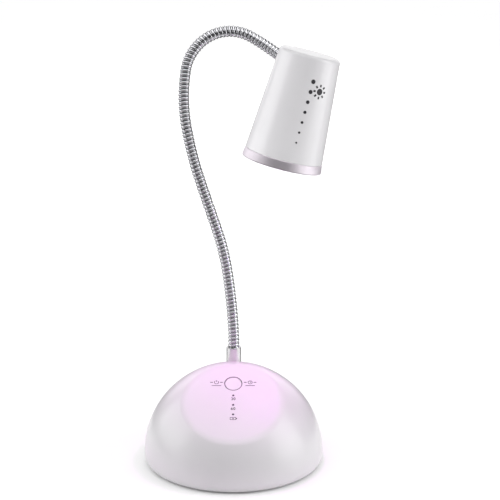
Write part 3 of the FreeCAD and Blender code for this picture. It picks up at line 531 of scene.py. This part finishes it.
def wire_turns(neck, begin, finish, wire_radius, seat, phase, sides):
    """Points, faces and crest values of a wire wound round the neck."""
    steps = max(2, round((finish - begin) / COIL_PITCH * STEPS_PER_TURN))
    points = []
    crest = []
    for step in range(steps + 1):
        distance = begin + (finish - begin) * step / steps
        point, heading, side = neck.at(distance)
        across = heading.cross(side)
        angle = 2 * math.pi * (distance / COIL_PITCH + phase)
        outward = side * math.cos(angle) + across * math.sin(angle)
        sideways = across * math.cos(angle) - side * math.sin(angle)
        seat_radius = seat(distance)
        along = heading * (COIL_PITCH / (2 * math.pi)) + sideways * seat_radius
        edge = along.normalized().cross(outward)
        for corner in range(sides):
            turn = 2 * math.pi * corner / sides
            height = seat_radius + wire_radius * math.cos(turn)
            points.append(point + outward * height + edge * (wire_radius * math.sin(turn)))
            # Height above the painted shade in the grooves, in fades; the material darkens points low in the
            # grooves.
            crest.append((height - GROOVE_SHADE_TOP) / GROOVE_SHADE_FADE)
    faces = [(row + corner, row + (corner + 1) % sides,
              row + sides + (corner + 1) % sides, row + sides + corner)
             for row in range(0, steps * sides, sides) for corner in range(sides)]
    last = steps * sides
    faces.append(tuple(reversed(range(sides))))
    faces.append(tuple(range(last, last + sides)))
    return points, faces, crest


def neck_coil(neck, number, material):
    """Length of the coil round one joint."""
    stations = neck.pivots
    begin = -COIL_IN_COLLAR
    if number > 1:
        begin = (stations[number - 1] + stations[number]) / 2
    finish = neck.end
    if number < NECK_JOINTS:
        finish = (stations[number] + stations[number + 1]) / 2

    def round_seat(_distance):
        return COIL_RADIUS - ROUND_WIRE

    def filler_seat(distance):
        share = (distance / neck.entry - FILLER_RISE) / (1 - FILLER_RISE)
        share = min(max(share, 0.0), 1.0)
        eased = share * share * (3 - 2 * share)
        sunk = FILLER_SUNK_LOW + (FILLER_SUNK_HIGH - FILLER_SUNK_LOW) * eased
        return COIL_RADIUS - FILLER_WIRE - sunk

    points, faces, crest = wire_turns(neck, begin, finish, ROUND_WIRE, round_seat, 0.0,
                                      ROUND_SIDES)
    filler_points, filler_faces, filler_crest = wire_turns(
        neck, begin, finish, FILLER_WIRE, filler_seat, 0.5, FILLER_SIDES)
    first = len(points)
    faces += [tuple(first + index for index in face) for face in filler_faces]
    piece = new_piece("neck_coil_%d" % number, points + filler_points, faces, material)
    layer = piece.data.attributes.new("crest", "FLOAT", "POINT")
    layer.data.foreach_set("value", crest + filler_crest)
    centre, heading, _side = neck.at(stations[number])
    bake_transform(piece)
    return piece


def make_neck(slots):
    """All lengths of the coil, in place of the plain tubes."""
    neck = Neck()
    links = range(1, NECK_JOINTS)
    tubes = ["neck_root"] + ["neck_segment_%d" % link for link in links] + ["neck_tip"]
    for number in range(1, NECK_JOINTS + 1):
        piece = neck_coil(neck, number, slots["neck_chrome"])
        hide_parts(*tubes[number - 1:number + 1])


# --- Printed marks ---------------------------------------------------------------------

def ribbon(points, width, closed=False):
    """Outline pairs of a stroke of constant width: (left, right) for each point."""
    count = len(points)
    pairs = []
    for index, (x, y) in enumerate(points):
        before = points[index - 1] if index or closed else (x, y)
        after = points[(index + 1) % count] if index < count - 1 or closed else (x, y)
        along = Vector((after[0] - before[0], after[1] - before[1])).normalized()
        offset = Vector((-along.y, along.x)) * width / 2
        pairs.append(((x + offset.x, y + offset.y), (x - offset.x, y - offset.y)))
    if closed:
        pairs.append(pairs[0])
    return pairs


def arc_stroke(x, y, radius, begin, finish, width, stretch=1.0):
    """Stroke along an arc, in degrees."""
    steps = max(6, round(abs(finish - begin) / ARC_STEP))
    turns = [math.radians(begin + (finish - begin) * step / steps) for step in range(steps + 1)]
    return ribbon([(x + radius * math.cos(turn), y + stretch * radius * math.sin(turn))
                   for turn in turns], width)


def line_stroke(x0, y0, x1, y1, width):
    """Straight stroke, cut finely so that it can follow a curved wall."""
    steps = max(2, round(math.hypot(x1 - x0, y1 - y0) / LINE_STEP))
    return ribbon([(x0 + (x1 - x0) * step / steps, y0 + (y1 - y0) * step / steps)
                   for step in range(steps + 1)], width)


def disc_stroke(x, y, radius):
    """Filled round dot."""
    pairs = []
    for row in range(DOT_ROWS + 1):
        turn = math.pi * row / DOT_ROWS
        half = max(radius * math.sin(turn), 0.01 * radius)
        level = y + radius * math.cos(turn)
        pairs.append(((x + half, level), (x - half, level)))
    return pairs


def digit(character, x, y, height, width):
    """One figure, drawn with strokes: 0, 3 or 6."""
    bowl = 0.25 * height
    high = y + bowl
    low = y - bowl
    if character == "3":
        return [arc_stroke(x, high, bowl, 150, -90, width),
                arc_stroke(x, low, bowl, 90, -150, width)]
    if character == "6":
        return [arc_stroke(x, low, bowl, 0, 360, width),
                arc_stroke(x + bowl, low, 2 * bowl, 180, 105, width, stretch=1.45)]
    return [arc_stroke(x, y, bowl, 0, 360, width, stretch=2.0)]


def power_sign(x, y, radius, width):
    """Broken circle with a bar through the gap."""
    return [arc_stroke(x, y, radius, 125, 415, width),
            line_stroke(x, y + 0.25 * radius, x, y + 1.35 * radius, width)]


def clock_sign(x, y, radius, width):
    """Clock face with two hands."""
    return [arc_stroke(x, y, radius, 0, 360, width),
            line_stroke(x, y, x, y + 0.65 * radius, width),
            line_stroke(x, y, x + 0.5 * radius, y, width)]


def battery_sign(x, y, width):
    """Battery outline with a plus sign in it."""
    half_x = BATTERY_HALF_WIDTH
    half_y = BATTERY_HALF_HEIGHT
    terminal = x + half_x + TERMINAL_GAP
    return [line_stroke(x - half_x, y - half_y, x + half_x, y - half_y, width),
            line_stroke(x + half_x, y - half_y, x + half_x, y + half_y, width),
            line_stroke(x + half_x, y + half_y, x - half_x, y + half_y, width),
            line_stroke(x - half_x, y + half_y, x - half_x, y - half_y, width),
            line_stroke(terminal, y - TERMINAL_HALF, terminal, y + TERMINAL_HALF, 2 * width),
            line_stroke(x - PLUS_HALF, y, x + PLUS_HALF, y, width),
            line_stroke(x, y - PLUS_HALF, x, y + PLUS_HALF, width)]


def sun_sign(x, y, radius, width):
    """Disc with eight rays."""
    strokes = [disc_stroke(x, y, 0.45 * radius)]
    for ray in range(8):
        turn = math.radians(45 * ray)
        strokes.append(line_stroke(x + 0.65 * radius * math.cos(turn),
                                   y + 0.65 * radius * math.sin(turn),
                                   x + radius * math.cos(turn),
                                   y + radius * math.sin(turn), width))
    return strokes


def printed(name, strokes, place, material):
    """Thin layer of ink. place(x, y, lift) turns millimetres on the surface to a point."""
    points = []
    faces = []
    for pairs in strokes:
        top = len(points)
        under = top + INK_COLUMNS * len(pairs)
        for lift in (INK_LIFT, -INK_SUNK):
            for left, right in pairs:
                for column in range(INK_COLUMNS):
                    share = column / (INK_COLUMNS - 1)
                    points.append(place(left[0] + (right[0] - left[0]) * share,
                                        left[1] + (right[1] - left[1]) * share, lift))
        for row in range(len(pairs) - 1):
            for column in range(INK_COLUMNS - 1):
                corner = INK_COLUMNS * row + column
                quad = (corner, corner + 1, corner + INK_COLUMNS + 1, corner + INK_COLUMNS)
                faces.append(tuple(top + index for index in quad))
                faces.append(tuple(under + index for index in reversed(quad)))
        last = INK_COLUMNS * (len(pairs) - 1)
        rim = [(index + 1, index) for index in range(INK_COLUMNS - 1)]
        rim += [(last + index, last + index + 1) for index in range(INK_COLUMNS - 1)]
        rim += [(index, index + INK_COLUMNS) for index in range(0, last, INK_COLUMNS)]
        rim += [(index + INK_COLUMNS, index)
                for index in range(INK_COLUMNS - 1, last, INK_COLUMNS)]
        faces += [(top + a, top + b, under + b, under + a) for a, b in rim]
    return new_piece(name, points, faces, material, smooth=False)


def face_place(origin, normal):
    """Placing function for the control face, about an origin on it."""
    up_slope = normal.cross(RIGHT)

    def place(x, y, lift):
        return origin + RIGHT * (x * MM) + up_slope * (y * MM) + normal * lift
    return place


def sign_strokes(sign, shift):
    """A sign with a dash each side of it and a line under it."""
    return sign(shift, SIGN_UP, SIGN_RADIUS, SIGN_STROKE) + [
        line_stroke(shift - DASH_OUTER, SIGN_UP, shift - DASH_INNER, SIGN_UP, DASH_STROKE),
        line_stroke(shift + DASH_INNER, SIGN_UP, shift + DASH_OUTER, SIGN_UP, DASH_STROKE),
        line_stroke(shift - UNDERLINE_HALF, UNDERLINE_UP,
                    shift + UNDERLINE_HALF, UNDERLINE_UP, UNDERLINE_STROKE)]


def figure_pair(first, second):
    """Two figures side by side."""
    return (digit(first, -FIGURE_SHIFT, 0, FIGURE_HEIGHT, SIGN_STROKE)
            + digit(second, FIGURE_SHIFT, 0, FIGURE_HEIGHT, SIGN_STROKE))


def make_face_marks(material):
    """Printed signs round the button and figures under the indicators."""
    normal = -Vector(joints["button_press"]["axis"])
    level = reach_along("indicator_lens_1", normal)

    def on_face(node):
        centre, _normal = largest_flat(node)
        return centre + normal * (level - centre @ normal)

    round_button = face_place(on_face("button_cap"), normal)
    pieces = []
    ring = arc_stroke(0, 0, BUTTON_RING_RADIUS, 0, 360, BUTTON_RING_STROKE)
    for name, strokes in (("mark_power", sign_strokes(power_sign, -SIGN_SHIFT)),
                          ("mark_timer", sign_strokes(clock_sign, SIGN_SHIFT)),
                          ("mark_button", [ring])):
        pieces.append(printed(name, strokes, round_button, material))
    for name, node, up_slope, strokes in (
            ("mark_thirty", "indicator_lens_1", -2.6, figure_pair("3", "0")),
            ("mark_sixty", "indicator_lens_2", -2.9, figure_pair("6", "0")),
            ("mark_battery", "indicator_lens_3", -3.2, battery_sign(0, 0, BATTERY_STROKE))):
        below = face_place(on_face(node) + normal.cross(RIGHT) * up_slope * MM, normal)
        pieces.append(printed(name, strokes, below, material))
    for piece in pieces:
        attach(piece, "base")


class Head:
    """The head's own axes, read from the flat mouth of its lens."""

    def __init__(self):
        centre, downward = largest_flat("lens")
        self.axis = -downward
        level = -reach_along("head_shell", -self.axis)
        self.seam = centre + self.axis * (level - centre @ self.axis)
        self.front = (FRONT - self.axis * (FRONT @ self.axis)).normalized()
        self.right = self.front.cross(-self.axis).normalized()

    def wall(self, node):
        """Placing function on the tapered wall: degrees round from the front, and height."""
        mesh = nodes[node].data
        tree = BVHTree.FromPolygons([vertex.co for vertex in mesh.vertices],
                                    [tuple(polygon.vertices) for polygon in mesh.polygons])

        def place(degrees, height, lift):
            turn = math.radians(degrees)
            outward = self.front * math.cos(turn) + self.right * math.sin(turn)
            level = self.seam + self.axis * (height * MM)
            hit, _normal, _index, _distance = tree.ray_cast(level + outward * RAY_START,
                                                           -outward)
            return hit + outward * lift
        return place


def make_head_marks(head, material):
    """A row of dots that grow towards the top, and a sun sign beside it."""
    wall = head.wall("head_shell")

    def place(x, y, lift):
        return wall(MARKS_AZIMUTH + math.degrees(x / WALL_RADIUS), y, lift)

    strokes = [disc_stroke(DOT_START[0] + DOT_STEP[0] * dot, DOT_START[1] + DOT_STEP[1] * dot,
                           DOT_RADIUS + DOT_GROWTH * dot) for dot in range(DOT_COUNT)]
    strokes += sun_sign(*SUN_PLACE, SUN_RADIUS, SUN_STROKE)
    piece = printed("mark_sun", strokes, place, material)
    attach(piece, "head")


# --- Light and camera --------------------------------------------------------------------

def new_light(name, kind, aim, power):
    """Light that points along a direction."""
    data = bpy.data.lights.new(name, kind)
    data.energy = power
    light = bpy.data.objects.new(name, data)
    light.rotation_euler = aim.to_track_quat("-Z", "Y").to_euler()
    bpy.context.scene.collection.objects.link(light)
    return light


def softbox(name, place, target, width, height, power):
    """Rectangular studio light that points at a target."""
    light = new_light(name, "AREA", Vector(target) - Vector(place), power)
    light.location = place
    light.data.shape = "RECTANGLE"
    light.data.size = width
    light.data.size_y = height
    return light


def make_lamp_light(head):
    """The lamp's own light, which moves with the head."""
    light = new_light("lamp_light", "AREA", -head.axis, LAMP_LIGHT_POWER)
    light.location = head.seam - head.axis * LAMP_LIGHT_DROP
    light.data.shape = "DISK"
    light.data.size = LAMP_LIGHT_SIZE
    light.data.spread = LAMP_LIGHT_SPREAD
    light.data.color = LAMP_LIGHT_COLOUR
    light.visible_glossy = False
    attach(light, "head")


def make_floor():
    """Pale floor in two pieces. Only the near one is reflected in the lamp."""
    paint = floor_paint()
    edges_x = (-FLOOR_REACH, NEAR_FLOOR_LEFT, FLOOR_REACH)
    edges_y = (-FLOOR_REACH, NEAR_FLOOR_FRONT, NEAR_FLOOR_BACK, FLOOR_REACH)
    grid = [(x, y, 0) for y in edges_y for x in edges_x]
    near = new_piece("floor_near", grid, [(4, 5, 8, 7)], paint)
    far = new_piece("floor_far", grid, [(0, 1, 4, 3), (1, 2, 5, 4), (3, 4, 7, 6), (6, 7, 10, 9),
                                        (7, 8, 11, 10)], paint)
    far.visible_glossy = False


def make_lights():
    """Dim surroundings, soft lights, a faint one on the head, and a broad one overhead."""
    world = bpy.data.worlds.new("studio")
    world.use_nodes = True
    world.node_tree.nodes["Background"].inputs["Color"].default_value = WORLD_COLOUR
    bpy.context.scene.world = world
    for settings in SOFTBOXES:
        softbox(*settings)
    head_light = softbox(*HEAD_LIGHT)
    head_light.visible_glossy = False
    head_light.data.spread = HEAD_LIGHT_SPREAD
    sun = new_light("light_top", "SUN", SUN_AIM, SUN_POWER)
    sun.data.angle = SUN_ANGLE


def make_camera():
    """Camera in front of the lamp, looking slightly down on it."""
    scene = bpy.context.scene
    scene.view_settings.view_transform = "Standard"
    data = bpy.data.cameras.new("camera")
    data.lens = CAMERA_LENS
    data.clip_start, data.clip_end = CAMERA_CLIP
    camera = bpy.data.objects.new("camera", data)
    back = Vector((0, -math.cos(CAMERA_ELEVATION), math.sin(CAMERA_ELEVATION)))
    camera.location = CAMERA_TARGET + back * CAMERA_DISTANCE
    camera.rotation_euler = (-back).to_track_quat("-Z", "Y").to_euler()
    scene.collection.objects.link(camera)
    scene.camera = camera


head = Head()
collar_low, collar_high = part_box("neck_collar")
slots = paint_nodes((collar_low + collar_high) / 2, head.seam, head.axis)
make_neck(slots)
printing_ink = ink()
make_face_marks(printing_ink)
make_head_marks(head, printing_ink)
make_lamp_light(head)
make_floor()
make_lights()
make_camera()
